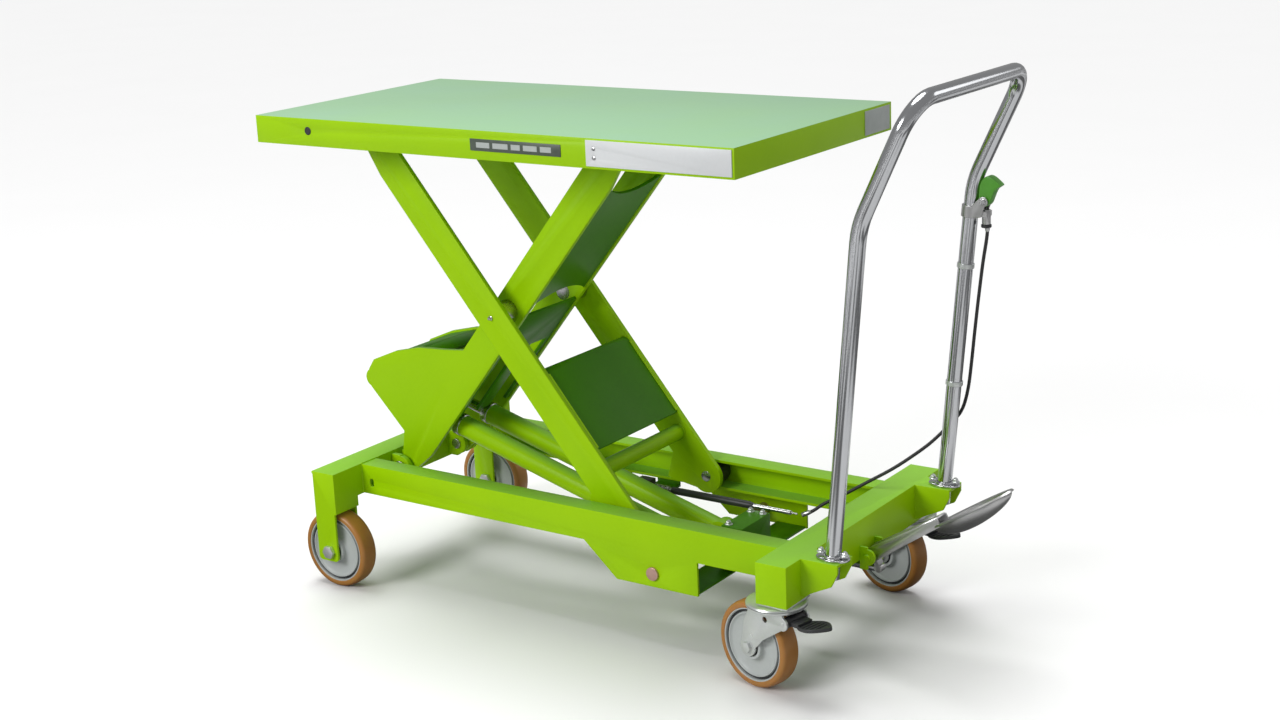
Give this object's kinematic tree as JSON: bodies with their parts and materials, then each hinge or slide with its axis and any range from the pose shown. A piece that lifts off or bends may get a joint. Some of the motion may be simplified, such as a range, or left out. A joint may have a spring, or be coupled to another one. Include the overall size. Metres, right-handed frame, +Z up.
{
  "type": "scissor lift table",
  "caption": "Manual hydraulic scissor lift table: flat deck on paired crossed arms, channel base on two fixed and two swivel braked wheels, foot pump and bent tube push handle",
  "frame": {"origin": "centre of the bounding box in X and Y, on the floor under the wheels", "axes": "+X along the deck towards the push handle, +Y across it to the far side, +Z up"},
  "size_m": [1.3613, 0.56, 0.985],
  "materials": {
    "deck_paint": "pale grey-green powder coat, fine texture",
    "green_paint": "lime green powder coat, semi-gloss",
    "zinc": "bright zinc plate",
    "pin_steel": "ground steel",
    "chrome": "bright chrome plate",
    "white_plate": "blank white plate",
    "grey_label": "blank label",
    "roller_black": "black nylon roller",
    "tyre_tan": "tan polyurethane tread, satin",
    "rim_grey": "light grey painted casting",
    "black_parts": "black moulding",
    "pump_black": "black paint",
    "cable_black": "black cable sheath",
    "lever_green": "green grip",
    "anchor_pin": "zinc plated, warm passivated"
  },
  "bodies": {
    "base": {"base_pivot_pins": "pin_steel", "base_pivot_lugs": "green_paint", "rear_beam": "green_paint", "rear_axles": "zinc", "rail_near": "green_paint", "rail_far": "green_paint", "cylinder_anchor_shaft": "anchor_pin", "base_tray": "green_paint", "front_beam": "green_paint", "push_handle": "chrome", "handle_flanges": "chrome", "caster_plates": "zinc", "pedal_bracket": "green_paint", "pump_block": "pump_black", "pump_reservoir": "pump_black", "release_valve": "pump_black", "release_clamp": "zinc", "release_cable": "cable_black"},
    "inner_frame": {"inner_arm_near": "green_paint", "inner_arm_far": "green_paint", "inner_upper_plate": "green_paint", "inner_lower_plate": "green_paint", "gusset_web": "green_paint", "upper_roller_stubs": "pin_steel", "ram_cross_shaft": "pin_steel", "centre_pins": "pin_steel"},
    "outer_frame": {"outer_arm_near": "green_paint", "outer_arm_far": "green_paint", "outer_cross_plate": "green_paint", "outer_cross_tube": "green_paint", "lower_roller_stubs": "pin_steel"},
    "platform": {"deck": "deck_paint", "deck_tracks": "green_paint", "deck_pivot_lugs": "green_paint", "deck_pivot_pins": "pin_steel", "side_plate": "white_plate", "blank_labels": "grey_label"},
    "lower_roller_near": {"lower_roller_near": "roller_black"},
    "lower_roller_far": {"lower_roller_far": "roller_black"},
    "upper_roller_near": {"upper_roller_near": "roller_black"},
    "upper_roller_far": {"upper_roller_far": "roller_black"},
    "barrels": {"cylinder_barrels": "green_paint"},
    "rams": {"cylinder_rams": "chrome"},
    "rear_wheel_near": {"rear_rim_near": "rim_grey", "rear_tyre_near": "tyre_tan"},
    "rear_wheel_far": {"rear_rim_far": "rim_grey", "rear_tyre_far": "tyre_tan"},
    "fork_near": {"caster_fork_near": "zinc"},
    "fork_far": {"caster_fork_far": "zinc"},
    "caster_wheel_near": {"caster_rim_near": "rim_grey", "caster_tyre_near": "tyre_tan"},
    "caster_wheel_far": {"caster_rim_far": "rim_grey", "caster_tyre_far": "tyre_tan"},
    "brake_near": {"brake_pedal_near": "black_parts"},
    "brake_far": {"brake_pedal_far": "black_parts"},
    "pedal": {"pedal_lever": "chrome", "pedal_pad": "chrome"},
    "plunger": {"pump_plunger": "chrome"},
    "release_grip": {"release_lever": "lever_green"},
    "release_rod": {"release_rod": "zinc"}
  },
  "joints": [
    {"name": "lift", "type": "hinge", "parent": "base", "child": "inner_frame", "pos_m": [-0.5357, 0, 0.2015], "axis": [0, -1, 0], "range_deg": [-36.02, 12.64]},
    {"name": "scissor_centre", "type": "hinge", "parent": "inner_frame", "child": "outer_frame", "pos_m": [-0.26105, 0, 0.53625], "axis": [0, -1, 0], "range_deg": [-25.39, 72.14]},
    {"name": "platform_pivot", "type": "hinge", "parent": "outer_frame", "child": "platform", "pos_m": [-0.5357, 0, 0.871], "axis": [0, -1, 0], "range_deg": [-36.12, 12.74]},
    {"name": "cylinder_swing", "type": "hinge", "parent": "base", "child": "barrels", "pos_m": [0.1043, 0, 0.1365], "axis": [0, -1, 0], "range_deg": [-3, 1.5]},
    {"name": "cylinder_stroke", "type": "slide", "parent": "barrels", "child": "rams", "axis": [-0.9623, 0, 0.2721], "range_m": [-0.0749, 0.027]},
    {"name": "lower_roller_near_spin", "type": "hinge", "parent": "outer_frame", "child": "lower_roller_near", "pos_m": [0.0136, -0.164, 0.2015], "axis": [0, 1, 0], "continuous": true},
    {"name": "upper_roller_near_spin", "type": "hinge", "parent": "inner_frame", "child": "upper_roller_near", "pos_m": [0.0136, -0.102, 0.871], "axis": [0, 1, 0], "continuous": true},
    {"name": "rear_wheel_near_spin", "type": "hinge", "parent": "base", "child": "rear_wheel_near", "pos_m": [-0.5827, -0.234, 0.075], "axis": [0, 1, 0], "continuous": true},
    {"name": "caster_near_swivel", "type": "hinge", "parent": "base", "child": "fork_near", "pos_m": [0.3773, -0.232, 0.155], "axis": [0, 0, 1], "continuous": true},
    {"name": "caster_wheel_near_spin", "type": "hinge", "parent": "fork_near", "child": "caster_wheel_near", "pos_m": [0.33638, -0.22255, 0.075], "axis": [0.225, 0.9744, 0], "continuous": true},
    {"name": "brake_near_press", "type": "hinge", "parent": "fork_near", "child": "brake_near", "pos_m": [0.41238, -0.2401, 0.136], "axis": [0.225, 0.9744, 0], "range_deg": [0, 10]},
    {"name": "lower_roller_far_spin", "type": "hinge", "parent": "outer_frame", "child": "lower_roller_far", "pos_m": [0.0136, 0.164, 0.2015], "axis": [0, 1, 0], "continuous": true},
    {"name": "upper_roller_far_spin", "type": "hinge", "parent": "inner_frame", "child": "upper_roller_far", "pos_m": [0.0136, 0.102, 0.871], "axis": [0, 1, 0], "continuous": true},
    {"name": "rear_wheel_far_spin", "type": "hinge", "parent": "base", "child": "rear_wheel_far", "pos_m": [-0.5827, 0.234, 0.075], "axis": [0, 1, 0], "continuous": true},
    {"name": "caster_far_swivel", "type": "hinge", "parent": "base", "child": "fork_far", "pos_m": [0.3773, 0.232, 0.155], "axis": [0, 0, 1], "continuous": true},
    {"name": "caster_wheel_far_spin", "type": "hinge", "parent": "fork_far", "child": "caster_wheel_far", "pos_m": [0.33638, 0.24145, 0.075], "axis": [0.225, 0.9744, 0], "continuous": true},
    {"name": "brake_far_press", "type": "hinge", "parent": "fork_far", "child": "brake_far", "pos_m": [0.41238, 0.2239, 0.136], "axis": [0.225, 0.9744, 0], "range_deg": [0, 10]},
    {"name": "pedal_press", "type": "hinge", "parent": "base", "child": "pedal", "pos_m": [0.4333, 0, 0.173], "axis": [0, 1, 0], "range_deg": [0, 38], "stiffness_Nm_per_rad": 4, "springref_deg": -28.65},
    {"name": "plunger_stroke", "type": "slide", "parent": "base", "child": "plunger", "axis": [-1, 0, 0], "range_m": [-0.0005, 0.0185]},
    {"name": "release_squeeze", "type": "hinge", "parent": "base", "child": "release_grip", "pos_m": [0.5393, 0.2, 0.748], "axis": [0, 1, 0], "range_deg": [-0.5, 20.5]},
    {"name": "release_pull", "type": "slide", "parent": "base", "child": "release_rod", "axis": [1, 0, 0], "range_m": [0, 0.0063], "stiffness_N_per_m": 300, "springref_m": -0.01}
  ],
  "couplings": [
    {"joint": "scissor_centre", "follows": "lift", "ratio": -2},
    {"joint": "platform_pivot", "follows": "lift", "ratio": 1},
    {"joint": "cylinder_swing", "follows": "lift", "ratio": 0.0496},
    {"joint": "cylinder_stroke", "follows": "lift", "m_per_rad": 0.1176},
    {"joint": "plunger_stroke", "follows": "pedal_press", "m_per_rad": 0.0265},
    {"joint": "release_squeeze", "follows": "release_pull", "rad_per_m": 55.5}
  ]
}
